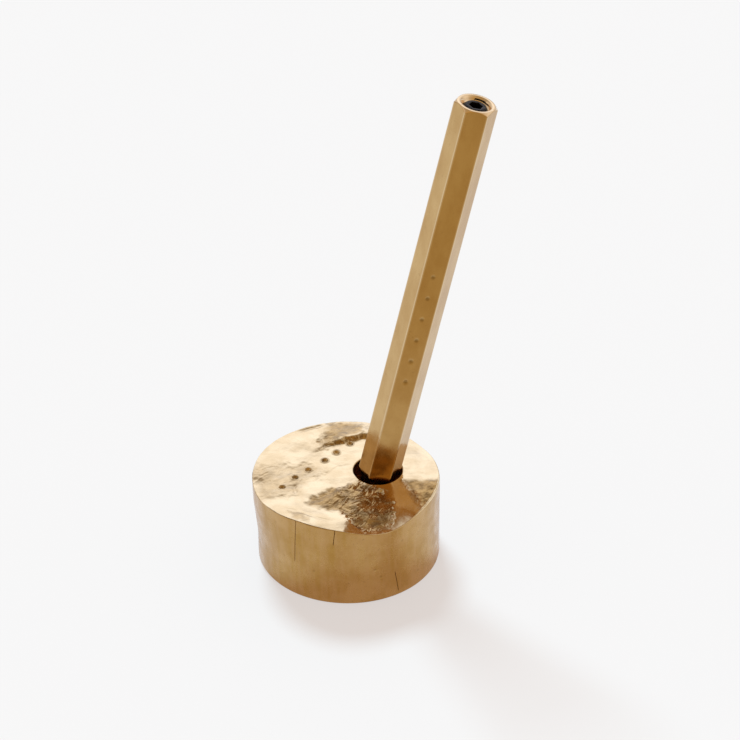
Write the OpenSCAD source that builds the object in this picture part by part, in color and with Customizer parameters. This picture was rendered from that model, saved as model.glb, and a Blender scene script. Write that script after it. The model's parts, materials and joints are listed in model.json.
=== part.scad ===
// Desk pen and stand: a ballpoint pen turned from hexagonal brass bar, standing point down
// in the leaning socket of a round brass block with a hand-worked top.
// Millimetres, +Z up. The origin is the centre of the underside, on the desk, and the pen
// leans towards +X in the XZ plane.

/* [Stand] */
// Radius of the round block
stand_r = 20; // [19:0.5:26]
// Height of the block's top above the desk
stand_h = 20; // [19:0.5:26]
// Depth of the worked hollow in the front of the top, at the rim
dip_depth = 1.5; // [0.5:0.1:1.8]
// Where that hollow is around the block, in degrees from +X
dip_turn = -62; // [-90:2:-40]
// How far hammering has spread the rim out towards -X
rim_spread = 0.9; // [0.2:0.1:1]
// Width of the broken edge around the block's base
base_edge = 0.3; // [0.1:0.05:0.6]

/* [Cork pad] */
// Radius of the pad under the block
pad_r = 17; // [12:0.5:17.5]
// Thickness of the pad
pad_t = 1; // [0.6:0.1:1.4]
// How far the pad stands out below the block
pad_proud = 0.2; // [0.1:0.05:0.3]

/* [Socket] */
// Distance of the pen's axis from the block's centre along X, at the top
pen_x = 7; // [5:0.5:9]
// Distance of the socket behind the block's centre
socket_y = 1.5; // [-1:0.5:2]
// Radius of the drilled socket
socket_r = 5.2; // [5.2:0.1:5.5]
// Lean of the socket from upright
socket_lean = 10; // [10:0.5:11]
// Depth of the ring that the pen's nose stands on, along the pen
seat_depth = 8; // [7.6:0.1:8.2]

/* [Barrel] */
// Lean of the pen from upright
pen_lean = 12.5; // [12:0.1:12.5]
// Size of the hexagonal bar across its flats
hex_af = 8; // [8:0.05:8.1]
// Turn of the hexagon about the pen's axis
hex_turn = -5; // [-10:1:0]
// Length of hexagon that stands out of the socket
hex_out = 91.7; // [89.7:0.5:110.7]
// Length of hexagon inside the socket
hex_sink = 0.9; // [0.6:0.1:1.2]
// Length of the turned nose below the hexagon
nose_len = 10.4; // [10.4:0.1:11]
// Radius of the nose at its tip
nose_tip_r = 1.7; // [1.6:0.05:1.8]
// Radius of the flat ring that the end chamfer leaves at the rear
end_face_r = 3.95; // [3.6:0.05:3.95]
// Radius of the countersink at the rear
countersink_r = 3.3; // [2.8:0.05:3.4]

/* [Set screw] */
// Nominal radius of the thread
screw_r = 2.5; // [2.4:0.1:2.5]
// Length of the screw
screw_len = 6; // [5:1:8]
// How far the screw sits below the barrel's rear face
screw_sink = 0.5; // [0.4:0.1:1.5]
// Size of its hexagon socket across flats
key_af = 2.5; // [2:0.5:2.5]

/* [Refill] */
// Radius of the ink tube
tube_r = 1.5; // [1.4:0.05:1.55]
// Radius of the point holder
point_r = 1.15; // [1.1:0.01:1.15]
// Radius of the writing ball
ball_r = 0.5; // [0.35:0.05:0.5]
// How far the point stands out of the nose
point_out = 2; // [1.8:0.1:2.3]
// Length of the ink column in the tube
ink_len = 56; // [10:1:60]

/* [Hidden] */
$fn = 96;

cut = 1;                  // how far a cutter runs past the face that it opens
running_gap = 0.04;       // radial clearance of the threads and of the pad in its recess
brass = "#c39a5b";
hex_r = hex_af / 2 / cos(30);
shoulder_r = hex_af / 2 - 0.1;
drill_half_angle = 59;    // half of a twist drill's 118 degree point
dip_r = 40;               // radius of the ball that the hollow in the top is cut with
spread_depth = 13;        // how far below the top the flare starts

// Along the pen's axis: 0 at the block's top, positive towards the rear
nose_end = -hex_sink - nose_len;
chamber_from = -7;        // floor of the spring's chamber in the nose
chamber_r = tube_r + 0.3;
orifice_r = point_r + 0.05;
tap_depth = 12;
screw_top = hex_out - screw_sink;
screw_bottom = screw_top - screw_len;
collar_from = 1.5;        // front face of the point holder's collar, which the spring pushes on
tube_from = 3;
plug_head = 2;
plug_stem = 3;
tube_to = screw_bottom - plug_head;
tube_bore_r = 0.95;
ink_channel_r = 0.35;
grease_len = 3;
point_end = nose_end - point_out;
cone_from = nose_end - 0.3;       // where the point holder starts to narrow
ball_z = point_end + ball_r;
ball_gap = 0.01;
throat_z = nose_end + 1;          // where the ink's way to the ball narrows
lip_wall = 0.12;
lip_z = ball_z - 0.4 * ball_r;
ink_end = ball_z + ball_r + 0.05;

function nose_radius(depth) =
    shoulder_r - (shoulder_r - nose_tip_r) * (depth - hex_sink) / nose_len;
seat_gap = 0.05;
pilot_r = nose_radius(seat_depth) + seat_gap;
pilot_depth = -point_end - seat_depth + 1.2;
function drill_point(r) = r / tan(drill_half_angle);

// Height 0 of the children is the block's top, and their axis is the pen's
module on_pen() {
    translate([pen_x, socket_y, stand_h]) rotate([0, pen_lean, 0]) children();
}

// Height 0 of the children is the ring that the nose stands on, and their axis is the socket's
module on_socket() {
    on_pen() translate([0, 0, -seat_depth]) rotate([0, socket_lean - pen_lean, 0]) children();
}

// A body of revolution between two heights, with a chamfer at each end
module chamfered_rod(from, to, r, chamfer) {
    rotate_extrude()
        polygon([[0, from], [r - chamfer, from], [r, from + chamfer],
                 [r, to - chamfer], [r - chamfer, to], [0, to]]);
}

// A straight rod between two heights on the axis
module rod(from, to, r) {
    translate([0, 0, from]) cylinder(h = to - from, r = r);
}

// A cone between two heights on the axis
module cone(from, to, r_from, r_to) {
    translate([0, 0, from]) cylinder(h = to - from, r1 = r_from, r2 = r_to);
}

// ---- Stand ----

// Round billet. The upper part of its side flares out, most of all towards -X.
module stand_blank() {
    intersection() {
        rotate_extrude()
            polygon([[0, pad_proud], [stand_r - base_edge, pad_proud],
                     [stand_r, pad_proud + base_edge], [stand_r, stand_h - spread_depth],
                     [stand_r + rim_spread, stand_h], [0, stand_h]]);
        translate([-0.4 * rim_spread, 0, 0])
            rod(pad_proud - cut, stand_h + cut, stand_r + 0.6 * rim_spread);
    }
}

// Stepped hole: wide for the hexagon, narrow below so that the point hangs free
module socket_cutter() {
    shoulder_top = drill_point(socket_r) - drill_point(pilot_r);
    on_socket() {
        rod(shoulder_top, seat_depth * 2, socket_r);
        cone(0, shoulder_top, pilot_r, socket_r);
        rod(-pilot_depth, 0, pilot_r);
        cone(-pilot_depth - drill_point(pilot_r), -pilot_depth, 0, pilot_r);
    }
}

module dip_cutter() {
    rotate([0, 0, dip_turn])
        translate([stand_r, 0, stand_h - dip_depth + dip_r]) sphere(r = dip_r);
}

module stand_block() {
    color(brass) difference() {
        stand_blank();
        rod(pad_proud - cut, pad_t, pad_r + running_gap);
        socket_cutter();
        dip_cutter();
    }
}

module stand_pad() {
    color("#a9835a") rod(0, pad_t, pad_r);
}

// ---- Pen ----

// The bar's six corners are turned off at both ends, by cones that run clear of the corners
module hex_bar() {
    clear_r = hex_r + cut;
    intersection() {
        translate([0, 0, -hex_sink])
            rotate([0, 0, hex_turn]) cylinder(h = hex_sink + hex_out, r = hex_r, $fn = 6);
        rotate_extrude()
            polygon([[0, -hex_sink], [shoulder_r, -hex_sink],
                     [clear_r, clear_r - shoulder_r - hex_sink],
                     [clear_r, hex_out - (clear_r - end_face_r)], [end_face_r, hex_out],
                     [0, hex_out]]);
    }
}

module barrel_bore() {
    chamber_point = drill_point(chamber_r) - drill_point(orifice_r);
    tap_r = screw_r + running_gap;
    tap_from = hex_out - tap_depth;
    rod(nose_end - cut, chamber_from, orifice_r);
    cone(chamber_from - chamber_point, chamber_from, orifice_r, chamber_r);
    rod(chamber_from, tap_from, chamber_r);
    cone(tap_from - drill_point(tap_r) + drill_point(chamber_r), tap_from, chamber_r, tap_r);
    rod(tap_from, hex_out + cut, tap_r);
    cone(hex_out - (countersink_r - tap_r), hex_out + cut, tap_r, countersink_r + cut);
}

module barrel() {
    color(brass) on_pen() difference() {
        union() {
            hex_bar();
            cone(nose_end, -hex_sink, nose_tip_r, shoulder_r);
        }
        barrel_bore();
    }
}

module set_screw() {
    key_depth = 3;
    key_r = key_af / 2 / cos(30);
    color("#1d1d1f") on_pen() difference() {
        chamfered_rod(screw_bottom, screw_top, screw_r, 0.4);
        translate([0, 0, screw_top - key_depth]) cylinder(h = key_depth + cut, r = key_r, $fn = 6);
        cone(screw_top - key_depth - drill_point(key_af / 2), screw_top - key_depth, 0, key_af / 2);
    }
}

// ---- Refill ----

module refill_tube() {
    color("#dfe3e6") on_pen() difference() {
        rod(tube_from, tube_to, tube_r);
        rod(tube_from - cut, tube_to + cut, tube_bore_r);
    }
}

module refill_point() {
    color("#c9c4b8") on_pen() difference() {
        union() {
            rod(collar_from, tube_from, tube_r);
            rod(cone_from, collar_from, point_r);
            cone(lip_z, cone_from, ball_r + lip_wall, point_r);
        }
        rod(throat_z, tube_from + cut, ball_r);
        rod(ball_z, throat_z + cut, ink_channel_r);
        translate([0, 0, ball_z]) sphere(r = ball_r + ball_gap);
    }
}

module refill_ball() {
    color("#8f9499") on_pen() translate([0, 0, ball_z]) sphere(r = ball_r);
}

module refill_ink() {
    color("#16161c") on_pen() {
        rod(tube_from, tube_from + ink_len, tube_bore_r);
        rod(throat_z, tube_from, ball_r);
        rod(ink_end, throat_z, ink_channel_r);
    }
}

module refill_grease() {
    ink_top = tube_from + ink_len;
    color("#cbb98a") on_pen() rod(ink_top, ink_top + grease_len, tube_bore_r);
}

module refill_plug() {
    vent_r = 0.3;
    color("#3a3a3c") on_pen() difference() {
        union() {
            rod(tube_to, tube_to + plug_head, tube_r);
            rod(tube_to - plug_stem, tube_to, tube_bore_r);
        }
        rod(tube_to - plug_stem - cut, tube_to + plug_head + cut, vent_r);
    }
}

// Compression spring: its first and last turns lie flat, the rest is open
spring_wire_r = 0.2;
spring_r = point_r + 0.1 + spring_wire_r;
spring_turns = 9;
spring_steps = 16;        // rings of wire for each turn
spring_sides = 6;
spring_from = chamber_from + 0.05 + spring_wire_r;
spring_to = collar_from - 0.05 - spring_wire_r;
spring_flat = 2 * spring_wire_r;

function spring_z(turn) =
    turn < 1 ? spring_from + spring_flat * turn
    : turn > spring_turns - 1 ? spring_to - spring_flat * (spring_turns - turn)
    : spring_from + spring_flat
      + (spring_to - spring_from - 2 * spring_flat) * (turn - 1) / (spring_turns - 2);

function wire_point(turn, side) =
    let (a = 360 * turn, b = 360 * side / spring_sides, r = spring_r + spring_wire_r * cos(b))
    [r * cos(a), r * sin(a), spring_z(turn) + spring_wire_r * sin(b)];

module refill_spring() {
    rings = spring_turns * spring_steps;
    points = [for (i = [0 : rings], j = [0 : spring_sides - 1]) wire_point(i / spring_steps, j)];
    walls = [for (i = [0 : rings - 1], j = [0 : spring_sides - 1])
        let (k = (j + 1) % spring_sides, a = i * spring_sides, b = a + spring_sides)
        [a + j, a + k, b + k, b + j]];
    first = [for (j = [spring_sides - 1 : -1 : 0]) j];
    last = [for (j = [0 : spring_sides - 1]) rings * spring_sides + j];
    color("#b9bcc0") on_pen() polyhedron(points, concat([first, last], walls), convexity = 10);
}

stand_block();
stand_pad();
barrel();
set_screw();
refill_tube();
refill_point();
refill_ball();
refill_ink();
refill_grease();
refill_plug();
refill_spring();
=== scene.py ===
"""Looks of a hexagonal brass desk pen that stands in a round brass block.

Shapes are worked out in millimetres and scaled to metres when a mesh is made. Along the pen,
s is the distance from the block's top, positive towards the pen's rear end.
"""

import collections
import itertools
import json
import math

import bpy
import numpy as np
from mathutils import Matrix, Vector


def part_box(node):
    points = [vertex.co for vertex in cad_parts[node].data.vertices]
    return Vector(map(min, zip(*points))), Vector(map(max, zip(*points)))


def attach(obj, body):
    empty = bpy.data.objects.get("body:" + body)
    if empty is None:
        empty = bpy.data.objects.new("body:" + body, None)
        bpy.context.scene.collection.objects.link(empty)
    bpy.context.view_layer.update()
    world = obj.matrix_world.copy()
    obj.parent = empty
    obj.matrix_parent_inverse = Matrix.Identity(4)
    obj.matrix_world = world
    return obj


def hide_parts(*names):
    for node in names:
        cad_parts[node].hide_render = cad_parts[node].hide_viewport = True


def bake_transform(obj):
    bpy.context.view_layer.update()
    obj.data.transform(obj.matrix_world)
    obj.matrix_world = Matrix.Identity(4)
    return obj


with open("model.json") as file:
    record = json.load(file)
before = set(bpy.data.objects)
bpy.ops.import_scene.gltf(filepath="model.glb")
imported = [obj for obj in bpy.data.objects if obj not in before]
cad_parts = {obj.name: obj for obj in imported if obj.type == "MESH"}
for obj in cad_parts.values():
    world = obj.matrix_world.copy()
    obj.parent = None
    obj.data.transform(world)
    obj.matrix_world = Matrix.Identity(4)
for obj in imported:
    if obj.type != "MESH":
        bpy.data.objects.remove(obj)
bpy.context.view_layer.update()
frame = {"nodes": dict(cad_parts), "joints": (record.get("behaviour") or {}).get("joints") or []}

MM = 0.001
JOINTS = {joint["name"]: joint for joint in frame["joints"]}
STAND_TOP = 20.0


# ---- Camera, light and floor ----

CAMERA_TARGET = (6.48, 21.68, 32.58)
CAMERA_AZIMUTH, CAMERA_ELEVATION, CAMERA_ROLL = -4.0, 34.1, -0.42
CAMERA_DISTANCE = 604.0
LENS, SENSOR = 132.6, 36.0
CLIP_FROM, CLIP_TO = 0.01, 20


def direction(azimuth, elevation):
    """Unit vector towards an azimuth (0 is -Y, 90 is +X) and an elevation, in degrees."""
    a, e = math.radians(azimuth), math.radians(elevation)
    return Vector((math.sin(a) * math.cos(e), -math.cos(a) * math.cos(e), math.sin(e)))


def make_camera():
    data = bpy.data.cameras.new("camera")
    data.lens, data.sensor_width = LENS, SENSOR
    data.clip_start, data.clip_end = CLIP_FROM, CLIP_TO
    camera = bpy.data.objects.new("camera", data)
    back = direction(CAMERA_AZIMUTH, CAMERA_ELEVATION)
    camera.rotation_mode = "QUATERNION"
    roll = Matrix.Rotation(math.radians(CAMERA_ROLL), 3, back)
    level = (-back).to_track_quat("-Z", "Y").to_matrix()
    camera.rotation_quaternion = (roll @ level).to_quaternion()
    camera.location = (Vector(CAMERA_TARGET) + CAMERA_DISTANCE * back) * MM
    bpy.context.scene.collection.objects.link(camera)
    bpy.context.scene.camera = camera


# ---- Node helpers ----


class Graph:
    """A node tree that is built by calling add()."""

    def __init__(self, tree):
        self.tree = tree
        tree.nodes.clear()

    def add(self, kind, inputs=None, output=0, **settings):
        """Makes a node and returns one of its outputs, or the node if it has none.
        Inputs are numbers, colours or other outputs."""
        node = self.tree.nodes.new(kind)
        for key, value in settings.items():
            setattr(node, key, value)
        for key, value in (inputs or {}).items():
            if isinstance(value, bpy.types.NodeSocket):
                self.tree.links.new(value, node.inputs[key])
            else:
                node.inputs[key].default_value = value
        return node.outputs[output] if len(node.outputs) else node

    def math(self, operation, a, b=0.0):
        return self.add("ShaderNodeMath", {0: a, 1: b}, operation=operation)

    def mix(self, factor, a, b, blend="MIX"):
        """Mixes two colours."""
        inputs = {"Factor": factor, 6: a, 7: b}
        return self.add("ShaderNodeMix", inputs, 2, data_type="RGBA", blend_type=blend)

    def span(self, value, low, high, to_low=0.0, to_high=1.0):
        """Maps low..high smoothly to to_low..to_high, clamped."""
        inputs = {"Value": value, "From Min": low, "From Max": high,
                  "To Min": to_low, "To Max": to_high}
        return self.add("ShaderNodeMapRange", inputs, interpolation_type="SMOOTHSTEP")


def rgb(red, green, blue):
    return (red, green, blue, 1.0)


SURROUNDINGS_BASE = rgb(0.28, 0.21, 0.13)
# Each patch of light in the surroundings: azimuth, elevation, sharpness, strength, colour
LIGHT_PATCHES = [
    (178, 30, 7.0, 1.28, rgb(0.93, 1.0, 1.17)),
    (100, 20, 4.0, 0.80, rgb(1.0, 1.0, 1.05)),
    (-100, 20, 4.0, 0.65, rgb(1.0, 1.0, 1.05)),
    (0, 35, 2.0, 0.42, rgb(1.0, 0.62, 0.15)),
]
BACKGROUND = rgb(0.939, 0.939, 0.939)
# How much of the floor's brightness is its own, which keeps it even and its shadows faint
FLOOR_GLOW = 0.62
FLOOR_COLOUR = rgb(0.615, 0.437, 0.338)
# The floor as the brass reflects it: bright behind the object, darker and warmer in front
FLOOR_BEHIND, FLOOR_IN_FRONT = rgb(0.854, 0.78, 0.778), rgb(0.545, 0.385, 0.215)
REFLECTED_GLOW = 0.62
FLOOR_BEHIND_FROM, FLOOR_IN_FRONT_FROM = 20 * MM, -110 * MM
FLOOR_HALF = 3.0
# The sun lights only the floor. It is cool, so that its shadows are warm
SUN_FROM, SUN_SIZE, SUN_STRENGTH = (-166, 55), 17, 6.0
SUN_COLOUR = (0.50, 0.95, 1.42)


def make_world():
    world = bpy.data.worlds.new("studio")
    world.use_nodes = True
    graph = Graph(world.node_tree)
    towards = graph.add("ShaderNodeTexCoord", output=0)
    light = SURROUNDINGS_BASE
    for azimuth, elevation, sharpness, strength, colour in LIGHT_PATCHES:
        inputs = {0: towards, 1: direction(azimuth, elevation)}
        facing = graph.add("ShaderNodeVectorMath", inputs, 1, operation="DOT_PRODUCT")
        lobe = graph.math("POWER", graph.math("MAXIMUM", facing, 0.0), sharpness)
        part = graph.mix(graph.math("MULTIPLY", lobe, strength), rgb(0, 0, 0), colour)
        part.node.clamp_factor = False
        light = graph.mix(1.0, light, part, "ADD")
    seen = graph.add("ShaderNodeLightPath", output="Is Camera Ray")
    light = graph.mix(seen, light, BACKGROUND)
    surface = graph.add("ShaderNodeBackground", {"Color": light})
    graph.add("ShaderNodeOutputWorld", {"Surface": surface})
    bpy.context.scene.world = world


def make_sun():
    data = bpy.data.lights.new("sun", "SUN")
    data.angle = math.radians(SUN_SIZE)
    data.energy = SUN_STRENGTH
    data.color = SUN_COLOUR
    sun = bpy.data.objects.new("sun", data)
    sun.visible_glossy = False
    sun.rotation_mode = "QUATERNION"
    sun.rotation_quaternion = (-direction(*SUN_FROM)).to_track_quat("-Z", "Y")
    bpy.context.scene.collection.objects.link(sun)


def make_floor():
    mesh = bpy.data.meshes.new("floor")
    sides = ((-1, -1), (1, -1), (1, 1), (-1, 1))
    corners = [(x * FLOOR_HALF, y * FLOOR_HALF, 0) for x, y in sides]
    mesh.from_pydata(corners, [], [(0, 1, 2, 3)])
    material = bpy.data.materials.new("floor")
    material.use_nodes = True
    graph = Graph(material.node_tree)
    lit = graph.add("ShaderNodeBsdfDiffuse", {"Color": FLOOR_COLOUR})
    glow = graph.add("ShaderNodeEmission", {"Color": BACKGROUND})
    plain = graph.add("ShaderNodeMixShader", {0: FLOOR_GLOW, 1: lit, 2: glow})
    place = graph.add("ShaderNodeNewGeometry", output="Position")
    depth = graph.add("ShaderNodeSeparateXYZ", {0: place}, "Y")
    nearer = graph.span(depth, FLOOR_IN_FRONT_FROM, FLOOR_BEHIND_FROM, 1.0, 0.0)
    colour = graph.mix(nearer, FLOOR_BEHIND, FLOOR_IN_FRONT)
    shaded = graph.add("ShaderNodeBsdfDiffuse", {"Color": colour})
    even = graph.add("ShaderNodeEmission", {"Color": colour})
    mirrored = graph.add("ShaderNodeMixShader", {0: REFLECTED_GLOW, 1: shaded, 2: even})
    reflected = graph.add("ShaderNodeLightPath", output="Is Glossy Ray")
    surface = graph.add("ShaderNodeMixShader", {0: reflected, 1: plain, 2: mirrored})
    graph.add("ShaderNodeOutputMaterial", {"Surface": surface})
    mesh.materials.append(material)
    floor = bpy.data.objects.new("floor", mesh)
    bpy.context.scene.collection.objects.link(floor)


# ---- Noise for shapes ----


def lattice(cell, seed):
    """A repeatable value from 0 to 1 for each whole-number cell."""
    c = cell.astype(np.int64)
    h = (c[..., 0] * 73856093) ^ (c[..., 1] * 19349663) ^ (c[..., 2] * 83492791) ^ (seed * 40503)
    h = ((h ^ (h >> 13)) * 1274126177) & 0xFFFFFFFF
    h = ((h ^ (h >> 16)) * 1911520717) & 0xFFFFFFFF
    return (h ^ (h >> 15)) / 0xFFFFFFFF


def noise(points, seed=0):
    """Smooth noise of about -1 to 1. Points are in cells."""
    base = np.floor(points)
    inner = points - base
    ease = inner**3 * (inner * (inner * 6 - 15) + 10)
    total = np.zeros(points.shape[:-1])
    for corner in itertools.product((0, 1), repeat=3):
        corner = np.array(corner)
        weight = np.prod(np.where(corner, ease, 1 - ease), axis=-1)
        slope = np.stack([lattice(base + corner, seed * 3 + k) for k in range(3)], -1) * 2 - 1
        total += weight * np.sum(slope * (inner - corner), axis=-1)
    return total * 1.5


def fractal(points, octaves, seed=0, gain=0.5):
    """Noise with finer and finer detail added."""
    return sum(gain**k * noise(points * 2**k + 7.3 * k, seed + k) for k in range(octaves))


def crags(points, octaves, seed=0, gain=0.55):
    """Noise with sharp ridges, from 0 to about 1."""
    total = sum(gain**k * (1 - 2 * np.abs(noise(points * 2**k + 3.1 * k, seed + k)))
                for k in range(octaves))
    return 0.5 + 0.5 * total * (1 - gain)


def ease(value, low, high):
    """0 below low, 1 above high, smooth between."""
    t = np.clip((value - low) / (high - low), 0, 1)
    return t * t * (3 - 2 * t)


def bell(distance, width):
    return np.exp(-((distance / width) ** 2))


def flat(x, y):
    """Points on the block's top, for the noise functions."""
    return np.stack([x, y, np.zeros_like(x)], -1)


# ---- Meshes from rings of points ----


def make_piece(name, points, faces, body, materials, face_material=None, sharp=30.0):
    """A smooth-shaded mesh object from points in millimetres, with its normals outwards."""
    points = np.asarray(points, float)
    triangles = np.array([(f[0], f[k], f[k + 1]) for f in faces for k in range(1, len(f) - 1)])
    a, b, c = (points[triangles[:, k]] for k in range(3))
    outwards = np.sum(a * np.cross(b, c)) > 0
    if not outwards:
        faces = [f[::-1] for f in faces]
    mesh = bpy.data.meshes.new(name)
    mesh.from_pydata((points * MM).tolist(), [], faces)
    for material in materials:
        mesh.materials.append(material)
    if face_material is not None:
        mesh.polygons.foreach_set("material_index", face_material)
    mesh.shade_smooth()
    mesh.set_sharp_from_angle(angle=math.radians(sharp))
    piece = bpy.data.objects.new(name, mesh)
    bpy.context.scene.collection.objects.link(piece)
    if body:
        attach(piece, body)
    return piece


def ring_faces(rows, columns, loop=False):
    """Quads between successive rings, and fans at both ends unless the rings close in a loop."""
    faces = []
    last = rows if loop else rows - 1
    for i in range(last):
        a, b = i * columns, (i + 1) % rows * columns
        for j in range(columns):
            after = (j + 1) % columns
            faces.append((a + j, a + after, b + after, b + j))
    if not loop:
        start, end = rows * columns, rows * columns + 1
        top = (rows - 1) * columns
        faces += [(start, (j + 1) % columns, j) for j in range(columns)]
        faces += [(end, top + j, top + (j + 1) % columns) for j in range(columns)]
    return faces


def make_shell(name, rings, body, materials, loop=False, ring_material=None, sharp=30.0):
    """A closed piece through rings, (rows, columns, 3). Faces from ring i take ring_material[i]."""
    rows, columns = rings.shape[:2]
    points = rings.reshape(-1, 3)
    if not loop:
        points = np.concatenate([points, [rings[0].mean(0), rings[-1].mean(0)]])
    faces = ring_faces(rows, columns, loop)
    index = None
    if ring_material is not None:
        index = np.repeat(ring_material[: len(faces) // columns], columns)
        index = np.concatenate([index, np.full(len(faces) - len(index), ring_material[0])])
    return make_piece(name, points, faces, body, materials, index, sharp)


def set_attribute(piece, name, values):
    """Stores one number for each vertex, padded for the fan centres, for the piece's material."""
    padded = np.zeros(len(piece.data.vertices), np.float32)
    padded[: values.size] = values.ravel()
    piece.data.attributes.new(name, "FLOAT", "POINT").data.foreach_set("value", padded)


# ---- The pen's own frame ----

PEN_AXIS = np.array(JOINTS["pen_lift"]["axis"])
REAR_POINT = np.array(JOINTS["screw_turn"]["pos_m"]) / MM
PEN_ORIGIN = REAR_POINT + PEN_AXIS * (STAND_TOP - REAR_POINT[2]) / PEN_AXIS[2]
PEN_SIDE = np.cross((0, 1, 0), PEN_AXIS)


def on_pen(radius, angle, s):
    """Points at a radius, an angle in radians and a distance s along the pen."""
    radius, angle, s = np.broadcast_arrays(radius, angle, s)
    across = radius * np.cos(angle)
    up = radius * np.sin(angle)
    return PEN_ORIGIN + across[..., None] * PEN_SIDE + up[..., None] * np.array((0, 1, 0)) \
        + s[..., None] * PEN_AXIS


# ---- Block ----

BLOCK_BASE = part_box("stand_block")[0][2] / MM
PAD_HIGH = np.array(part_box("stand_pad")[1]) / MM
BLOCK_R = 20.0
RUNNING_GAP = 0.04
RECESS_R = PAD_HIGH[0] + RUNNING_GAP
RECESS_TOP = PAD_HIGH[2]
# The socket, drilled at this lean, and the pilot hole below it, on whose edge the nose sits
SOCKET_LEAN = math.radians(10)
SOCKET_R, PILOT_R, PILOT_DEPTH, SEAT_DEPTH = 5.2, 2.448, 6.5, 8.0
MOUTH_EDGE = 0.25
FOOT_EDGE, FOOT_INSET = 0.3, 0.06
# How far the rim is spread at the left, and how wavy the wall is
RIM_SPREAD, WALL_WAVE = 0.86, 0.03
EVEN_COLUMNS, WALL_RINGS, TOP_RINGS = 640, 84, 168
# Kinds of surface, in the order of the block's materials
WALL, TOP, BORE = range(3)
# Length of a drill's point for each millimetre of its radius, at 118 degrees
DRILL_SLOPE = 1 / math.tan(math.radians(59))
SOCKET_AXIS = np.array((math.sin(SOCKET_LEAN), 0, math.cos(SOCKET_LEAN)))
SOCKET_SIDE = np.array((math.cos(SOCKET_LEAN), 0, -math.sin(SOCKET_LEAN)))
SEAT = PEN_ORIGIN - SEAT_DEPTH * PEN_AXIS

# Height of the hammered rim around the block, by angle in degrees from +X, and the degrees to
# each side over which it is smoothed
RIM_SMOOTHING = 12
RIM_HEIGHTS = {
    -180: 20.0, -155: 20.1, -142: 20.6, -130: 20.8, -112: 21.0, -100: 20.3, -90: 19.4, -78: 18.4,
    -65: 18.5, -50: 19.6, -40: 20.1, -28: 20.5, -12: 20.2, 5: 19.8, 20: 19.3, 60: 19.6, 85: 20.2,
    140: 20.4, 160: 20.5,
}

# Cracks in the wall: angle and height at the upper end, then at the lower end
CRACKS = [(-126.7, 19.6, -129.0, 8.7), (-101.8, 20.0, -103.1, 15.8), (-64.0, 7.3, -61.1, 0.9)]
CRACK_WIDTH, CRACK_DEPTH = 0.05, 0.15
# How far round from a crack the columns are turned to run along it
CRACK_REACH = math.radians(5)
# Pits in the wall: angle and height
PITS = [(-115.6, 8.2), (-77.4, 8.8), (-73.6, 6.6), (-58.8, 15.2), (-45.2, 4.0), (40, 12), (150, 6)]
# Their radius, and their depth as a share of a crack's
PIT_R, PIT_SHARE = 0.22, 0.6

# Rough areas of the top: outline, depth of the area, height and size of its crags, how ragged
# and how soft its edge is, and how dark it is
RoughArea = collections.namedtuple("RoughArea", "outline depth crag size ragged soft dark")
ROUGH_AREAS = {
    "broken": RoughArea(
        [(2.2, -2.6), (-0.3, -3.6), (-1.7, -5), (-4.2, -4.9), (-6.5, -6.3), (-8.3, -7.5),
         (-9.6, -9.6), (-7.8, -10.6), (-5, -11.8), (-3.2, -12.8), (-0.8, -15.5), (2.0, -18.6),
         (6.0, -18.2), (8.8, -13.5), (9.0, -10.5), (8.4, -7.5), (6.4, -5), (4.6, -4.0)],
        depth=0.40, crag=1.25, size=3.1, ragged=0.9, soft=0.9, dark=0.84),
    # This area's darkness is partly painted shade, on top of its darker broken brass
    "right": RoughArea(
        [(11.6, -2.7), (15.5, -3.3), (19.8, -2.9), (19.6, -6.5), (18.4, -9), (16.4, -12.0),
         (14.9, -12.6), (13.6, -9.5), (12.6, -6)],
        depth=0.08, crag=0.36, size=2.2, ragged=0.7, soft=1.2, dark=0.95),
    "left": RoughArea(
        [(-20.5, 4.6), (-14, 4.9), (-8, 4.2), (-5.2, 2.2), (-6.5, -0.5), (-9.5, -2.2),
         (-11.5, -5.2), (-14.5, -7), (-18.8, -7.5), (-20.5, -3)],
        depth=0.12, crag=0.50, size=2.8, ragged=1.2, soft=1.5, dark=0.30),
    "back": RoughArea(
        [(-5.2, 9.6), (-2.5, 11.4), (0.8, 13.2), (4.6, 14.4), (4.5, 17.5), (2.2, 19.4),
         (-3.4, 19.5), (-3.4, 16.5), (-5.6, 12.8)],
        depth=0.25, crag=0.70, size=2.4, ragged=0.8, soft=0.9, dark=0.70),
    "speckled": RoughArea(
        [(-13.5, -12.5), (-10.5, -13.5), (-9.5, -16.5), (-12.5, -15.8)],
        depth=0.05, crag=0.15, size=1.0, ragged=0.5, soft=0.6, dark=0.5),
}
# The torn metal's folds run along this direction, and are this much longer that way
TEAR_TURN, TEAR_STRETCH = math.radians(38), 1.7
TEAR_FRAME = np.array([[math.cos(TEAR_TURN) / TEAR_STRETCH, -math.sin(TEAR_TURN), 0],
                       [math.sin(TEAR_TURN) / TEAR_STRETCH, math.cos(TEAR_TURN), 0], [0, 0, 1]])
# The edge of the step behind the socket, from its left end
SCARP = [(-8.5, 8.1), (-3.5, 11.2), (0, 12.5), (5, 13.7), (9, 13.9)]
# How high the step is, and how dark the painted shade along its edge is
SCARP_HEIGHT, SCARP_PAINTED_SHADE = 0.95, 0.9
# Shallow creases: a line and its depth
CREASES = [([(-11.0, -1.5), (-11.9, -4.0), (-11.6, -6.5)], 0.16),
           ([(-3.5, 19.0), (-7, 18.2), (-10.5, 16.7)], 0.22),
           ([(-17, -2), (-14, -3.4), (-9.5, -2.6)], 0.10),
           ([(2, 4), (-2.5, 3.0), (-6, -1.5)], 0.05),
           ([(-16.5, -10), (-9, -14.5), (-4, -17)], 0.08)]
CREASE_WIDTH = 0.45
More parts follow.
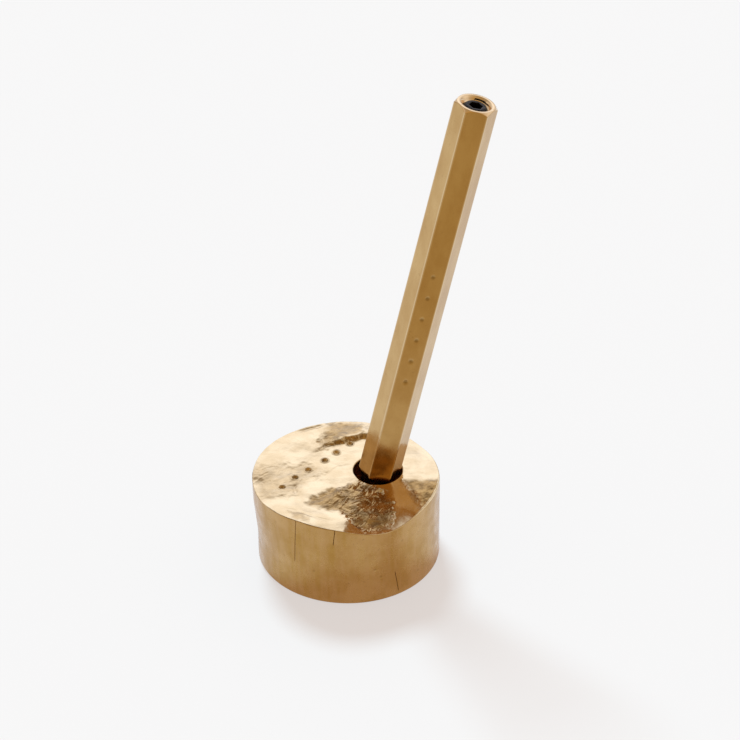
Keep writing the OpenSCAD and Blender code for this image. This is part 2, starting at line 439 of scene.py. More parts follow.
# Plain round punch marks in the top
PUNCH_MARKS = [(-14.5, -3.3), (-11.5, 0.0), (-8.5, 2.8), (-4.7, 5.8), (-2.0, 8.5), (1.2, 11.6)]
PUNCH_R, PUNCH_DEPTH, PUNCH_LIP, PUNCH_DARK = 0.8, 0.38, 0.07, 0.9
# The smooth hollow between the socket and the rim: a line down its middle
HOLLOW = [(9.0, -7.5), (10.0, -11.0), (9.0, -17.5)]
HOLLOW_DEPTH, HOLLOW_WIDTH = 0.50, 5.0
# How far the top falls away near its edge, and the radii between which it does
SHADE_FALL, SHADE_FROM, SHADE_TO = 0.22, BLOCK_R - 5.0, BLOCK_R + 0.5
# Where painted shade darkens the rim's edge, over what angle and how dark it is there
EDGE_SHADE_AT, EDGE_SHADE_WIDTH, EDGE_SHADE_DARK = math.radians(-125), math.radians(38), 0.9


def outline_distance(x, y, outline):
    """Distance to a closed outline, negative inside it."""
    nearest = np.full(x.shape, np.inf)
    inside = np.zeros(x.shape, bool)
    for (ax, ay), (bx, by) in zip(outline, outline[1:] + outline[:1]):
        along = ((x - ax) * (bx - ax) + (y - ay) * (by - ay)) / ((bx - ax) ** 2 + (by - ay) ** 2)
        along = np.clip(along, 0, 1)
        px, py = x - ax - along * (bx - ax), y - ay - along * (by - ay)
        nearest = np.minimum(nearest, np.hypot(px, py))
        crosses = (ay > y) != (by > y)
        inside ^= crosses & (x < ax + (y - ay) * (bx - ax) / (by - ay if by != ay else 1))
    return np.where(inside, -nearest, nearest)


def line_distance(x, y, line):
    """Distance to an open line, how far along it (0 to 1), and the side (positive to its left)."""
    nearest, share, side = np.full(x.shape, np.inf), np.zeros(x.shape), np.zeros(x.shape)
    for k, ((ax, ay), (bx, by)) in enumerate(zip(line, line[1:])):
        along = ((x - ax) * (bx - ax) + (y - ay) * (by - ay)) / ((bx - ax) ** 2 + (by - ay) ** 2)
        along = np.clip(along, 0, 1)
        px, py = x - ax - along * (bx - ax), y - ay - along * (by - ay)
        distance = np.hypot(px, py)
        closer = distance < nearest
        nearest = np.where(closer, distance, nearest)
        share = np.where(closer, (k + along) / (len(line) - 1), share)
        side = np.where(closer, np.sign((bx - ax) * py - (by - ay) * px), side)
    return nearest, share, side


def rim_height(angle):
    """Height of the rim at an angle in radians, smoothed between the given heights."""
    degrees = np.degrees(angle)
    known = sorted(RIM_HEIGHTS.items())
    at = [a for a, _ in known] + [known[0][0] + 360]
    height = [h for _, h in known] + [known[0][1]]
    spread = np.linspace(-RIM_SMOOTHING, RIM_SMOOTHING, 9)
    around = [(degrees + d + 180) % 360 - 180 for d in spread]
    return np.mean([np.interp(a, at, height) for a in around], axis=0)


def rough_mask(x, y, area):
    """1 inside a rough area and 0 outside it, with a ragged edge."""
    kind = ROUGH_AREAS[area]
    seed = 40 + sorted(ROUGH_AREAS).index(area)
    p = flat(x, y) / 1.8
    shift_x = kind.ragged * fractal(p, 3, seed)
    shift_y = kind.ragged * fractal(p + 31.7, 3, seed + 7)
    distance = outline_distance(x + shift_x, y + shift_y, kind.outline)
    return 1 - ease(distance, -kind.soft, kind.soft)


def broken_surface(p, seed):
    """Height of torn metal, about -0.5 to 0.5: lumps, uneven sharp ridges and fine grit."""
    shifts = fractal(p + 5.1, 2, seed), fractal(p + 9.4, 2, seed + 1), 0 * p[..., 0]
    warp = 0.4 * np.stack(shifts, -1)
    lumps = 0.45 * fractal(p / 2.2, 2, seed + 2)
    uneven = ease(noise(p / 1.7, seed + 3), -0.5, 0.6)
    ridges = crags(p + warp, 4, seed + 4, 0.45) - 0.55
    grit = crags((p + warp) * 3.3, 2, seed + 5) - 0.5
    return lumps + (0.30 + 0.70 * uneven) * ridges + 0.12 * grit


def add_rough_areas(x, y, height, rough):
    """The torn areas. Like the next three, this changes the arrays that it is given."""
    p = flat(x, y)
    for number, (area, kind) in enumerate(ROUGH_AREAS.items()):
        near = outline_distance(x, y, kind.outline) < 1.5 * (kind.ragged + kind.soft)
        mask = rough_mask(x[near], y[near], area)
        folds = broken_surface(p[near] @ TEAR_FRAME / kind.size, 20 + 10 * number)
        height[near] += mask * (kind.crag * folds - kind.depth)
        rough[near] = np.maximum(rough[near], kind.dark * mask)


def add_scarp(x, y, height, rough):
    """The torn step behind the socket: high behind its edge, fading at both ends, painted shade on
    its edge.
    """
    distance, share, side = line_distance(x, y, SCARP)
    step = SCARP_HEIGHT * ease(share, 0, 0.5) * (1 - ease(share, 0.85, 1))
    behind = distance * side + 0.45 * fractal(flat(x, y) / 1.6, 3, 12)
    height += step * ease(behind, -0.6, 0.7) * bell(np.maximum(behind, 0), 6)
    # Painted shade along the step's edge, carried as darker broken brass
    along = ease(share, 0, 0.3) * (1 - ease(share, 0.9, 1))
    np.maximum(rough, SCARP_PAINTED_SHADE * along * bell(behind, 0.7), out=rough)


def add_creases(x, y, height):
    """Shallow creases that fade at both ends."""
    p = flat(x, y)
    for line, depth in CREASES:
        distance, share, _ = line_distance(x, y, line)
        crease = depth * ease(share, 0, 0.3) * (1 - ease(share, 0.7, 1))
        height -= crease * bell(distance + 0.3 * noise(p / 1.2, 15), CREASE_WIDTH)


def add_punch_marks(x, y, height, rough):
    """Round marks, each with a low lip around it, darker in and around the mark."""
    for cx, cy in PUNCH_MARKS:
        away = np.hypot(x - cx, y - cy)
        height += -PUNCH_DEPTH * (1 - ease(away, 0.3, PUNCH_R)) \
            + PUNCH_LIP * bell(away - PUNCH_R - 0.1, 0.2)
        np.maximum(rough, PUNCH_DARK * (1 - ease(away, 0.5, 1.2)), out=rough)


def top_relief(x, y):
    """Height of the worked top above the plane of the block's top, and how rough it is there, with
    the painted shade along the step counted in.
    """
    rim = ease(np.hypot(x, y), 13, BLOCK_R) * (rim_height(np.arctan2(y, x)) - STAND_TOP)
    p = flat(x, y)
    hollow = bell(line_distance(x, y, HOLLOW)[0], HOLLOW_WIDTH)
    worked = 0.20 * fractal(p / 8, 2, 1) + 0.035 * fractal(p / 2.2, 3, 2)
    height = rim + rim_shade(x, y) - HOLLOW_DEPTH * hollow + (1 - 0.85 * hollow) * worked
    rough = np.zeros_like(x)
    add_rough_areas(x, y, height, rough)
    add_scarp(x, y, height, rough)
    add_creases(x, y, height)
    add_punch_marks(x, y, height, rough)
    return height, rough


def rim_shade(x, y):
    """Height of the top's fall near its edge, 0 or below."""
    return -SHADE_FALL * ease(np.hypot(x, y), SHADE_FROM, SHADE_TO)


def block_angles():
    """Angles of the block's columns: even, with more of them at each crack."""
    even = np.linspace(-math.pi, math.pi, EVEN_COLUMNS, endpoint=False)
    close = np.array([-0.5, -0.25, -0.12, -0.05, 0, 0.05, 0.12, 0.25, 0.5]) / BLOCK_R
    extra = [math.radians((a + b) / 2) + close for a, _, b, _ in CRACKS]
    return np.unique(np.concatenate([even, *extra]))


def follow_cracks(angles, z):
    """The columns' angles at a height, turned so that the columns near a crack run along it."""
    turned = angles.copy()
    for a, za, b, zb in CRACKS:
        middle = math.radians((a + b) / 2)
        share = np.clip((z - zb) / (za - zb), 0, 1)
        turn = np.radians(b + (a - b) * share - (a + b) / 2)
        turned += turn * bell(angles - middle, CRACK_REACH)
    return turned


def crack_depth(angles, z):
    """0 to 1 in the cracks and pits of the wall."""
    depth = np.zeros_like(angles)
    for a, za, b, zb in CRACKS:
        share = (z - zb) / (za - zb)
        line = math.radians(b) + math.radians(a - b) * np.clip(share, 0, 1)
        taper = ease(share, 0.0, 0.12) * (1 if za > 15 else ease(1 - share, 0.0, 0.15))
        depth = np.maximum(depth, taper * bell((angles - line) * BLOCK_R, CRACK_WIDTH))
    for a, zp in PITS:
        away = np.hypot((angles - math.radians(a)) * BLOCK_R, z - zp)
        depth = np.maximum(depth, PIT_SHARE * bell(away, PIT_R))
    return depth


def wall_radius(angles, z):
    """Radius of the wall, with its rim spread to the left and a faint waviness."""
    spread = RIM_SPREAD * np.maximum(0, -np.cos(angles)) * ease(z, 5, 18)
    around = np.stack([np.cos(angles) * 6, np.sin(angles) * 6, z / 5 + 0 * angles], -1)
    wave = WALL_WAVE * fractal(around, 3, 5) - WALL_WAVE
    return BLOCK_R + spread + wave


def ring(x, y, z):
    return np.stack(np.broadcast_arrays(x, y, z), -1)


def round_ring(radius, angles, z):
    return ring(radius * np.cos(angles), radius * np.sin(angles), z)


def socket_ring(radius, angles, height):
    """A ring on the socket's axis, at a height along it above the seat."""
    across = np.cos(angles)[:, None] * SOCKET_SIDE + np.sin(angles)[:, None] * np.array((0, 1, 0))
    radius, height = np.broadcast_to(radius, angles.shape), np.broadcast_to(height, angles.shape)
    return SEAT + radius[:, None] * across + height[:, None] * SOCKET_AXIS


class BlockRings:
    """Rings of the block, each with its cracks' depth, its roughness and painted shade, and its
    kind of surface.
    """

    def __init__(self, angles):
        self.angles = angles
        self.points, self.cracks, self.roughs, self.kinds = [], [], [], []

    def put(self, points, kind, crack=None, rough=None):
        nothing = np.zeros(len(self.angles))
        self.points.append(points)
        self.kinds.append(kind)
        self.cracks.append(nothing if crack is None else crack)
        self.roughs.append(nothing if rough is None else rough)


def add_foot(rings):
    """The pad's recess, from its middle, and the rounded lower edge."""
    for radius in (4, 12, RECESS_R):
        rings.put(round_ring(radius, rings.angles, RECESS_TOP), WALL)
    rings.put(round_ring(RECESS_R, rings.angles, BLOCK_BASE), WALL)
    for turn in np.linspace(0, math.pi / 2, 5)[:-1]:
        z = BLOCK_BASE + FOOT_EDGE * (1 - math.cos(turn))
        radius = BLOCK_R - FOOT_EDGE * (1 - math.sin(turn)) - FOOT_INSET
        rings.put(round_ring(radius, rings.angles, z), WALL)


def add_wall(rings):
    """The wall, whose upper half rises and falls with the rim."""
    corner = rim_corner(rings.angles)
    lift = rim_lift(follow_cracks(rings.angles, STAND_TOP), BLOCK_R - corner)
    for share in np.linspace(0, 1, WALL_RINGS):
        rise = share * (STAND_TOP - corner - BLOCK_BASE - FOOT_EDGE)
        height = BLOCK_BASE + FOOT_EDGE + rise
        turned = follow_cracks(rings.angles, height)
        crack = crack_depth(turned, height)
        radius = wall_radius(turned, height) - CRACK_DEPTH * crack
        points = round_ring(radius, turned, height + lift * ease(share, 0.5, 1.0) * share)
        rings.put(points, WALL, crack)


def add_rim(rings):
    """The rim's broken edge, with painted shade at its front left."""
    corner = rim_corner(rings.angles)
    turned = follow_cracks(rings.angles, STAND_TOP)
    wall = wall_radius(turned, STAND_TOP)
    # Painted shade on the rim's edge at the front left, carried as darker broken brass
    wear_and_painted_shade = EDGE_SHADE_DARK * bell((turned - EDGE_SHADE_AT) / EDGE_SHADE_WIDTH, 1)
    for turn in np.linspace(0, math.pi / 2, 6)[1:]:
        radius = wall - corner * (1 - math.cos(turn))
        x, y = radius * np.cos(turned), radius * np.sin(turned)
        z = STAND_TOP + top_relief(x, y)[0] - corner * (1 - math.sin(turn))
        rings.put(ring(x, y, z), TOP, rough=wear_and_painted_shade)


def add_top(rings, mouth):
    """The worked top, between the rim and the socket's mouth."""
    outer = rings.points[-1]
    share = np.linspace(0, 1, TOP_RINGS)[1:-1, None]
    x, y = (outer[:, k] + share * (mouth[:, k] - outer[:, k]) for k in range(2))
    height, rough = top_relief(x, y)
    for points, roughness in zip(ring(x, y, STAND_TOP + height), rough):
        rings.put(points, TOP, rough=roughness)
    rings.put(mouth, TOP)


def add_socket(rings, mouth):
    """The socket's wall, the drill's cone at its end and the pilot hole."""
    angles = rings.angles
    reach = (mouth - SEAT) @ SOCKET_AXIS
    shoulder = DRILL_SLOPE * (SOCKET_R - PILOT_R)
    depths = (0.12, 0.35, 1.0, 2.5, 4.5)
    for depth in depths:
        share = depth / depths[-1]
        height = reach - depth + share * (shoulder + depths[-1] - reach)
        flare = MOUTH_EDGE * max(0, 1 - depth / depths[1]) ** 2
        rings.put(socket_ring(SOCKET_R + flare, angles, height), BORE)
    point = -PILOT_DEPTH - DRILL_SLOPE * PILOT_R
    for radius, height in ((PILOT_R, 0), (PILOT_R, -PILOT_DEPTH), (0.2, point)):
        rings.put(socket_ring(radius, angles, height), BORE)


def block_rings():
    """Rings of the block from the pad's recess, up the wall, over the top and down the socket."""
    rings = BlockRings(block_angles())
    mouth = mouth_ring(rings.angles)
    add_foot(rings)
    add_wall(rings)
    add_rim(rings)
    add_top(rings, mouth)
    add_socket(rings, mouth)
    return rings


def rim_corner(angles):
    """Size of the rim's broken edge: sharp at the front left, wide at the front right."""
    return 0.10 + 0.30 * bell((angles - math.radians(-25)) / math.radians(50), 1) \
        + 0.08 * ease(np.abs(angles), math.radians(150), math.pi)


def rim_lift(angles, radius):
    """Height of the worked top at the rim, above the plane of the block's top."""
    return top_relief(radius * np.cos(angles), radius * np.sin(angles))[0]


def mouth_ring(angles):
    """Where the socket's wall meets the worked top, with a small broken edge."""
    height = np.full(len(angles), SEAT_DEPTH)
    for _ in range(6):
        points = socket_ring(SOCKET_R + MOUTH_EDGE, angles, height)
        relief, _ = top_relief(points[:, 0], points[:, 1])
        height += (STAND_TOP + relief - points[:, 2]) / SOCKET_AXIS[2]
    return socket_ring(SOCKET_R + MOUTH_EDGE, angles, height)


def make_block(wall_material, top_material, bore_material):
    rings = block_rings()
    materials = [wall_material, top_material, bore_material]
    kinds = np.array(rings.kinds)
    block = make_shell("block", np.array(rings.points), "stand", materials,
                       ring_material=kinds, sharp=60)
    set_attribute(block, "rough", np.array(rings.roughs))
    set_attribute(block, "crack", np.array(rings.cracks))
    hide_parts("stand_block")


# ---- Pen ----

HEX_AF, HEX_TURN, HEX_CORNER = 8.0, math.radians(-5), 0.3
HEX_OUT, HEX_SINK, NOSE_LEN = 91.7, 0.9, 10.4
NOSE_END = -HEX_SINK - NOSE_LEN
NOSE_TIP_R, SHOULDER_R, END_FACE_R = 1.7, 3.9, 3.95
COUNTERSINK_R, TAP_R, TAP_DEPTH = 3.3, 2.54, 12.0
CHAMBER_R, CHAMBER_FROM, ORIFICE_R = 1.8, -7.0, 1.2
THREAD_PITCH, THREAD_DEPTH = 0.8, 0.36
SIDES = 6
# Plain round marks down the facet that faces the front
MARKED_SIDE = 4
MARKS = np.linspace(26.0, 52.4, 6)
MARK_R, MARK_DEPTH = 0.62, 0.16
# Steps across a side, across those next to the marked side, across that side, round a corner
SIDE_STEPS, NEXT_STEPS, MARKED_STEPS, CORNER_STEPS = 6, 12, 32, 6
# How wavy the bar is, and how far it is sunk to stay inside its true size
BAR_WAVE, BAR_SINK = 0.012, 0.008
# Where the painted highlight along each corner begins and is full, as angles from the middle of a
# side
CORNER_HIGHLIGHT_SPAN = math.radians(27.4), math.radians(28.6)
CORNER_PAINTED_HIGHLIGHT = 0.6
# Edges sharper than this angle, in degrees, are shaded as edges on the pen and its screw
MACHINED_SHARP = 38


def hex_angles(flats, corner):
    """Angles round the hexagon: flats[k] steps across side k and corner steps round each corner."""
    half = math.radians(30)
    tangent = math.atan2((HEX_AF / 2 - HEX_CORNER) * math.tan(half), HEX_AF / 2)
    angles = []
    for side in range(SIDES):
        middle = HEX_TURN + half * (2 * side + 1)
        across = np.tan(tangent) * np.linspace(-1, 1, flats[side] + 1)
        angles.append(middle + np.arctan(across))
        angles.append(middle + np.linspace(tangent, 2 * half - tangent, corner + 1)[1:-1])
    return np.concatenate(angles)


def hex_radius(angles):
    """Distance from the axis to the hexagon with rounded corners."""
    half = math.radians(30)
    off = np.abs((angles - HEX_TURN) % (2 * half) - half)
    flat_r = HEX_AF / 2 / np.cos(off)
    corner_at = (HEX_AF / 2 - HEX_CORNER) / math.cos(half)
    inside = np.maximum(HEX_CORNER**2 - (corner_at * np.sin(half - off)) ** 2, 0)
    round_r = corner_at * np.cos(half - off) + np.sqrt(inside)
    tangent = math.atan2((HEX_AF / 2 - HEX_CORNER) * math.tan(half), HEX_AF / 2)
    return np.where(off > tangent, round_r, flat_r)


def soft_min(a, b, width=0.05):
    """The lower of two radii, with a rounded edge where they cross."""
    return -width * np.logaddexp(-a / width, -b / width)


def thread(angles, s, depth, ends):
    """How far a V thread is cut at each point, fading out at both of its ends."""
    phase = (s / THREAD_PITCH - angles / (2 * math.pi)) % 1
    groove = 1 - np.abs(2 * phase - 1)
    start = ease(s, ends[0], ends[0] + THREAD_PITCH)
    fade = start * (1 - ease(s, ends[1] - THREAD_PITCH / 2, ends[1]))
    return depth * np.clip(groove * 1.2 - 0.1, 0, 1) * fade


def turned_radius(s):
    """Radius of the turned nose, shoulder and rear chamfer at s. It runs clear of the corners."""
    if s <= -HEX_SINK:
        turned = SHOULDER_R - (SHOULDER_R - NOSE_TIP_R) * (-HEX_SINK - s) / NOSE_LEN
    else:
        turned = SHOULDER_R + (s + HEX_SINK)
    corner_r = HEX_AF / 2 / math.cos(math.radians(30))
    return min(turned, END_FACE_R + (HEX_OUT - s), corner_r + 1)


def in_marks(angles, radius, s):
    """0 to 1 in the round marks on the marked side."""
    turn = angles - HEX_TURN - math.radians(30 + 60 * MARKED_SIDE)
    across = radius * np.sin(turn)
    front = np.cos(turn) > 0.8
    mark = np.zeros(len(angles))
    for at in MARKS:
        away = np.hypot(across, s - at)
        mark = np.maximum(mark, front * (1 - ease(away, 0.25, MARK_R)))
    return mark


def bore_profile(angles):
    """Radius and s down the countersink, the tapped hole and the refill's chamber."""
    bore_top = HEX_OUT - (COUNTERSINK_R - TAP_R)
    tap_from = HEX_OUT - TAP_DEPTH
    yield (COUNTERSINK_R + TAP_R) / 2, (HEX_OUT + bore_top) / 2
    for s in np.arange(bore_top, tap_from, -THREAD_PITCH / 8):
        yield TAP_R + thread(angles, s, THREAD_DEPTH, (tap_from, HEX_OUT)), s
    yield TAP_R, tap_from
    yield CHAMBER_R, tap_from - DRILL_SLOPE * (TAP_R - CHAMBER_R)
    yield CHAMBER_R, CHAMBER_FROM
    yield ORIFICE_R, CHAMBER_FROM - DRILL_SLOPE * (CHAMBER_R - ORIFICE_R)
    yield ORIFICE_R, NOSE_END


def barrel_rings():
    """Rings of the barrel from its tip, round its rear end and back down its bore."""
    flats = [SIDE_STEPS] * SIDES
    flats[MARKED_SIDE] = MARKED_STEPS
    for side in (MARKED_SIDE - 1, (MARKED_SIDE + 1) % SIDES):
        flats[side] = NEXT_STEPS
    angles = hex_angles(flats, CORNER_STEPS)
    hexagon = hex_radius(angles)
    nose = np.linspace(NOSE_END + 0.15, -HEX_SINK, 24)
    lower = np.linspace(-HEX_SINK, 0.6, 14)[1:]
    body = np.arange(0.9, HEX_OUT - 1.2, 0.3)
    upper = np.linspace(HEX_OUT - 1.1, HEX_OUT - 0.06, 20)
    rings, marks, turned_faces_and_painted_highlights = [], [], []
    from_middle = np.abs((angles - HEX_TURN) % math.radians(60) - math.radians(30))
    # Painted highlight along each rounded corner of the bar
    corner = CORNER_PAINTED_HIGHLIGHT * ease(from_middle, *CORNER_HIGHLIGHT_SPAN)

    def put(radius, s):
        rings.append(on_pen(radius, angles, s))
        marks.append(np.zeros(len(angles)))
        turned_faces_and_painted_highlights.append(np.ones(len(angles)))

    put(NOSE_TIP_R - 0.15, NOSE_END)
    for s in np.concatenate([nose, lower, body, upper]):
        turned = turned_radius(s)
        radius = soft_min(hexagon, np.full(len(angles), turned))
        mark = in_marks(angles, radius, s)
        along = np.stack([np.cos(angles) * 2, np.sin(angles) * 2, s / 9 + 0 * angles], -1)
        wave = BAR_WAVE * fractal(along, 2, 9)
        rings.append(on_pen(radius - MARK_DEPTH * mark + wave - BAR_SINK, angles, s))
        marks.append(mark)
        turned_faces_and_painted_highlights.append(np.maximum(corner, ease(hexagon - turned, -0.05, 0.05)))
    put(END_FACE_R - 0.06, HEX_OUT)
    put(COUNTERSINK_R + 0.05, HEX_OUT)
    put(COUNTERSINK_R - 0.03, HEX_OUT - 0.05)
    for radius, s in bore_profile(angles):
        put(radius, s)
    return np.array(rings), np.array(marks), np.array(turned_faces_and_painted_highlights)


def make_barrel(material):
    rings, marks, turned_faces_and_painted_highlights = barrel_rings()
    barrel = make_shell("pen_barrel", rings, "pen", [material], loop=True,
                        sharp=MACHINED_SHARP)
    set_attribute(barrel, "mark", marks)
    set_attribute(barrel, "turned_faces_and_painted_highlight", turned_faces_and_painted_highlights)
    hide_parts("barrel")


SCREW_R, SCREW_SINK, SCREW_LEN, SCREW_CHAMFER = 2.5, 0.5, 6.0, 0.4
KEY_AF, KEY_DEPTH = 2.5, 3.0


def make_set_screw(material):
    """A socket set screw: threaded side, chamfered ends and a hexagon socket."""
    columns = 96
    angles = np.linspace(0, 2 * math.pi, columns, endpoint=False)
    top = HEX_OUT - SCREW_SINK
    bottom = top - SCREW_LEN
    end_r = SCREW_R - SCREW_CHAMFER
    half = math.radians(30)
    key = KEY_AF / 2 / np.cos((angles % (2 * half)) - half)
    rings = [on_pen(end_r - 0.6, angles, bottom), on_pen(end_r, angles, bottom)]
    for s in np.arange(bottom + 0.05, top - 0.04, THREAD_PITCH / 8):
        cut = thread(angles, s, THREAD_DEPTH, (bottom - 0.3, top + 0.3))
        ends = end_r + min(s - bottom, top - s)
        rings.append(on_pen(np.minimum(SCREW_R - cut, ends), angles, s))
    key_end = top - KEY_DEPTH
    head = ((end_r - 0.03, top), (key + 0.10, top), (key + 0.03, top - 0.03), (key, top - 0.12),
            (key, key_end), (0.1, key_end - DRILL_SLOPE * KEY_AF / 2))
    for radius, s in head:
        rings.append(on_pen(radius, angles, s))
    screw = make_shell("socket_set_screw", np.array(rings), "screw", [material],
                       sharp=MACHINED_SHARP)
    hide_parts("set_screw")


SPRING_WIRE_R, SPRING_R, SPRING_TURNS = 0.2, 1.45, 9
SPRING_FROM, SPRING_TO = CHAMBER_FROM + 0.25, 1.25


def make_spring(material):
    """A compression spring whose end turns lie flat."""
    steps, sides = 40, 12
    turns = np.linspace(0, SPRING_TURNS, SPRING_TURNS * steps + 1)
    lift = 2 * SPRING_WIRE_R
    heights = [SPRING_FROM, SPRING_FROM + lift, SPRING_TO - lift, SPRING_TO]
    s = np.interp(turns, [0, 1, SPRING_TURNS - 1, SPRING_TURNS], heights)
    around = np.linspace(0, 2 * math.pi, sides, endpoint=False)
    radius = SPRING_R + SPRING_WIRE_R * np.cos(around)[None, :]
    height = s[:, None] + SPRING_WIRE_R * np.sin(around)[None, :]
    rings = on_pen(radius, 2 * math.pi * turns[:, None], height)
    spring = make_shell("spring_wire", rings, None, [material])
    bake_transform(spring)
    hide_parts("refill_spring")


# ---- Materials ----

PLASTIC_IOR = 1.49


def new_material(name):
    material = bpy.data.materials.new(name)
    material.use_nodes = True
    return material, Graph(material.node_tree)


def finish_surface(graph, inputs, height, strength, distance=0.1):
    """Adds the surface shader, with a bump from a height in units of distance, millimetres."""
    bump = {"Strength": strength, "Distance": distance * MM, "Height": height}
    inputs = {**inputs, "Normal": graph.add("ShaderNodeBump", bump)}
    surface = graph.add("ShaderNodeBsdfPrincipled", inputs)
    graph.add("ShaderNodeOutputMaterial", {"Surface": surface})


def grain(graph, size, detail=4.0, roughness=0.55, stretch=(1, 1, 1)):
    """Noise whose features are about size millimetres across, from 0 to 1."""
    place = graph.add("ShaderNodeTexCoord", output="Object")
    scale = tuple(1 / (size * MM * k) for k in stretch)
    place = graph.add("ShaderNodeMapping", {"Vector": place, "Scale": scale})
    inputs = {"Vector": place, "Scale": 1.0, "Detail": detail, "Roughness": roughness}
    return graph.add("ShaderNodeTexNoise", inputs)


def stored(graph, name):
    """A number stored on the piece by set_attribute."""
    return graph.add("ShaderNodeAttribute", output="Fac", attribute_name=name)


def wall_brass():
    """Turned brass with a blotchy patina, faint upright streaks and dark cracks."""
    material, graph = new_material("block_wall_brass")
    blotch = graph.span(grain(graph, 6, 5), 0.38, 0.64)
    streak = graph.span(grain(graph, 1.2, 4, 0.6, (1, 1, 9)), 0.35, 0.68)
    colour = graph.mix(blotch, rgb(0.435, 0.242, 0.062), rgb(0.51, 0.305, 0.108))
    colour = graph.mix(graph.math("MULTIPLY", streak, 0.35), colour, rgb(0.54, 0.325, 0.15))
    speck = graph.span(grain(graph, 0.7, 3), 0.66, 0.74)
    colour = graph.mix(graph.math("MULTIPLY", speck, 0.45), colour, rgb(0.24, 0.13, 0.05))
    cracked = graph.math("MULTIPLY", stored(graph, "crack"), 0.7)
    colour = graph.mix(cracked, colour, rgb(0.12, 0.065, 0.02))
    rough = graph.span(grain(graph, 2.5, 4), 0.3, 0.7, 0.24, 0.38)
    fine = graph.math("ADD", grain(graph, 0.25, 4), graph.math("MULTIPLY", streak, 0.6))
    inputs = {"Base Color": colour, "Metallic": 1.0, "Roughness": rough}
    finish_surface(graph, inputs, fine, 0.25, 0.04)
    return material


def top_brass():
    """Polished brass, with darker broken brass where the top is rough and where shade is painted.
    """
    material, graph = new_material("block_top_brass")
    rough = stored(graph, "rough")
    cloud = graph.span(grain(graph, 5, 4), 0.35, 0.65)
    smooth = graph.mix(cloud, rgb(0.67, 0.525, 0.325), rgb(0.76, 0.62, 0.41))
    torn = graph.span(grain(graph, 2.0, 4), 0.35, 0.65)
    broken = graph.mix(torn, rgb(0.19, 0.105, 0.028), rgb(0.43, 0.268, 0.096))
    colour = graph.mix(rough, smooth, broken)
    roughness = graph.math("ADD", graph.math("MULTIPLY", rough, 0.09), 0.11)
    roughness = graph.math("ADD", roughness, graph.math("MULTIPLY", grain(graph, 0.8), 0.12))
    fine = graph.math("MULTIPLY", grain(graph, 1.7, 5, 0.5), graph.math("ADD", rough, 0.12))
    inputs = {"Base Color": colour, "Metallic": 1.0, "Roughness": roughness}
    finish_surface(graph, inputs, fine, 0.8, 0.2)
    return material


def bore_brass():
    """Drilled brass with rings left by the drill, dark with handling."""
    material, graph = new_material("bore_brass")
    ring_marks = grain(graph, 0.3, 2, 0.5, (30, 30, 1))
    shade = graph.span(ring_marks, 0.35, 0.65)
    colour = graph.mix(shade, rgb(0.40, 0.23, 0.08), rgb(0.55, 0.34, 0.13))
    inputs = {"Base Color": colour, "Metallic": 1.0, "Roughness": 0.33}
    finish_surface(graph, inputs, ring_marks, 0.3)
    return material


def pen_brass():
    """Drawn brass bar, darker in blotches and marks, lighter on turned and drilled faces, painted
    highlight on corners.
    """
    material, graph = new_material("pen_brass")
    blotch = graph.span(grain(graph, 7, 5, 0.6, (1, 1, 2)), 0.35, 0.66)
    colour = graph.mix(blotch, rgb(0.465, 0.268, 0.088), rgb(0.54, 0.335, 0.125))
    speck = graph.span(grain(graph, 0.9, 3, 0.6), 0.64, 0.74)
    colour = graph.mix(graph.math("MULTIPLY", speck, 0.35), colour, rgb(0.28, 0.16, 0.05))
    # Lighter turned and drilled faces, and the painted highlight along the corners
    turned_faces_and_painted_highlight = graph.math("MULTIPLY", stored(graph, "turned_faces_and_painted_highlight"), 0.85)
    colour = graph.mix(turned_faces_and_painted_highlight, colour, rgb(0.78, 0.60, 0.38))
    marked = graph.math("MULTIPLY", stored(graph, "mark"), 0.55)
    colour = graph.mix(marked, colour, rgb(0.17, 0.09, 0.02))
    streak = grain(graph, 0.22, 4, 0.6, (1, 1, 25))
    rough = graph.span(grain(graph, 3, 4), 0.3, 0.7, 0.11, 0.20)
    inputs = {"Base Color": colour, "Metallic": 1.0, "Roughness": rough}
    finish_surface(graph, inputs, streak, 0.22, 0.03)
    return material


def black_steel():
    """Blackened steel, a little paler where it is worn."""
    material, graph = new_material("black_steel")
    wear_and_painted_shade = graph.span(grain(graph, 0.8, 4), 0.5, 0.75)
    colour = graph.mix(wear_and_painted_shade, rgb(0.012, 0.010, 0.010), rgb(0.040, 0.035, 0.034))
    rough = graph.span(grain(graph, 0.4, 3), 0.3, 0.7, 0.30, 0.48)
    inputs = {"Base Color": colour, "Metallic": 0.9, "Roughness": rough}
    finish_surface(graph, inputs, grain(graph, 0.15, 3), 0.2, 0.02)
    return material


def cork():
    """Pressed cork grains with dark specks."""
    material, graph = new_material("cork")
    place = graph.add("ShaderNodeTexCoord", output="Object")
    inputs = {"Vector": place, "Scale": 1 / (1.1 * MM), "Randomness": 1.0}
    cells = graph.add("ShaderNodeTexVoronoi", inputs, "Distance")
    grains = graph.span(cells, 0.1, 0.6)
    colour = graph.mix(grains, rgb(0.42, 0.24, 0.11), rgb(0.62, 0.42, 0.24))
    specks = graph.span(grain(graph, 0.6, 3), 0.62, 0.7)
    colour = graph.mix(specks, colour, rgb(0.16, 0.08, 0.035))
    finish_surface(graph, {"Base Color": colour, "Roughness": 0.88}, cells, 0.5, 0.1)
    return material


def plain_metal(name, dark, light, roughness, size):
    """A metal with fine tool marks."""
    material, graph = new_material(name)
    marks = grain(graph, size, 4)
    colour = graph.mix(graph.span(marks, 0.35, 0.65), dark, light)
    rough = graph.span(grain(graph, size * 3, 3), 0.3, 0.7, roughness - 0.05, roughness + 0.08)
    inputs = {"Base Color": colour, "Metallic": 1.0, "Roughness": rough}
    finish_surface(graph, inputs, marks, 0.15, 0.02)
    return material


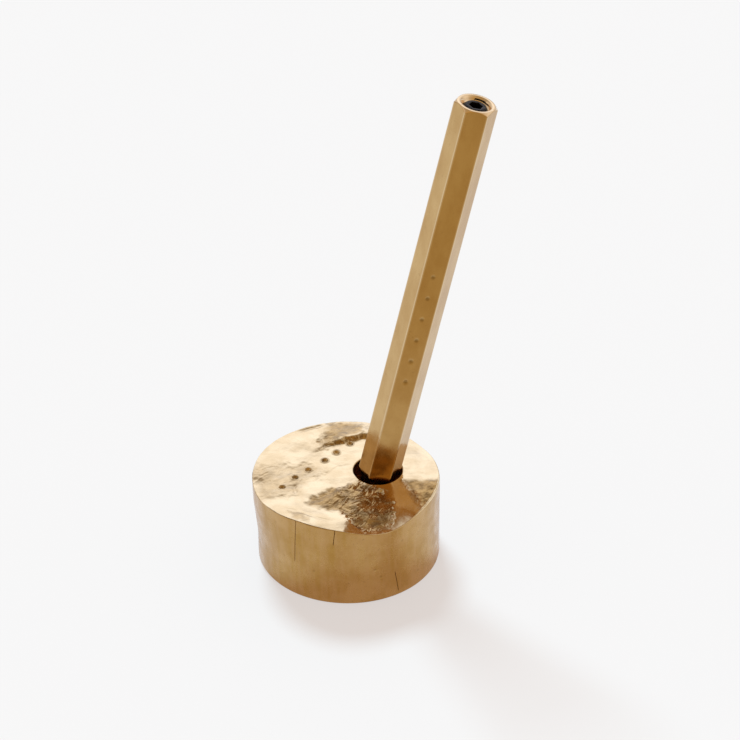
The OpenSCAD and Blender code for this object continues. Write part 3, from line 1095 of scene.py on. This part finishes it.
def plastic(name, dark, light, roughness, clearness):
    """A moulded or drawn plastic; clearness lets light through it."""
    material, graph = new_material(name)
    cloud = graph.span(grain(graph, 1.5, 3), 0.35, 0.65)
    colour = graph.mix(cloud, dark, light)
    rough = graph.span(grain(graph, 0.4, 3), 0.3, 0.7, roughness, roughness + 0.12)
    inputs = {"Base Color": colour, "Roughness": rough, "Transmission Weight": clearness,
              "IOR": PLASTIC_IOR}
    finish_surface(graph, inputs, grain(graph, 0.3, 3), 0.1, 0.02)
    return material


def dress(node, material):
    """Gives a CAD node its material."""
    mesh = frame["nodes"][node].data
    mesh.materials.clear()
    mesh.materials.append(material)


# CAD node, material, dark and light colour, roughness, and size of the tool marks in millimetres
METAL_NODES = [
    ("refill_point", "nickel_silver", (0.50, 0.48, 0.43), (0.66, 0.63, 0.57), 0.22, 0.5),
    ("refill_ball", "ball_carbide", (0.32, 0.32, 0.34), (0.42, 0.42, 0.44), 0.12, 0.2),
]
# CAD node, material, dark and light colour, roughness, and how much light passes through
PLASTIC_NODES = [
    ("refill_tube", "tube_plastic", (0.80, 0.82, 0.84), (0.88, 0.90, 0.91), 0.18, 0.8),
    ("refill_ink", "ink", (0.005, 0.005, 0.008), (0.012, 0.012, 0.018), 0.15, 0.0),
    ("refill_grease", "grease", (0.62, 0.50, 0.26), (0.72, 0.60, 0.36), 0.2, 0.5),
    ("refill_plug", "plug_plastic", (0.03, 0.03, 0.032), (0.05, 0.05, 0.053), 0.45, 0.0),
]


def make_all():
    make_camera()
    make_world()
    make_sun()
    make_floor()
    make_block(wall_brass(), top_brass(), bore_brass())
    make_barrel(pen_brass())
    make_set_screw(black_steel())
    spring = plain_metal("spring_steel", rgb(0.42, 0.42, 0.43), rgb(0.60, 0.60, 0.61), 0.25, 0.2)
    make_spring(spring)
    dress("stand_pad", cork())
    for node, name, dark, light, roughness, size in METAL_NODES:
        dress(node, plain_metal(name, rgb(*dark), rgb(*light), roughness, size))
    for node, name, dark, light, roughness, clearness in PLASTIC_NODES:
        dress(node, plastic(name, rgb(*dark), rgb(*light), roughness, clearness))


make_all()
bpy.context.scene.view_settings.view_transform = "Standard"
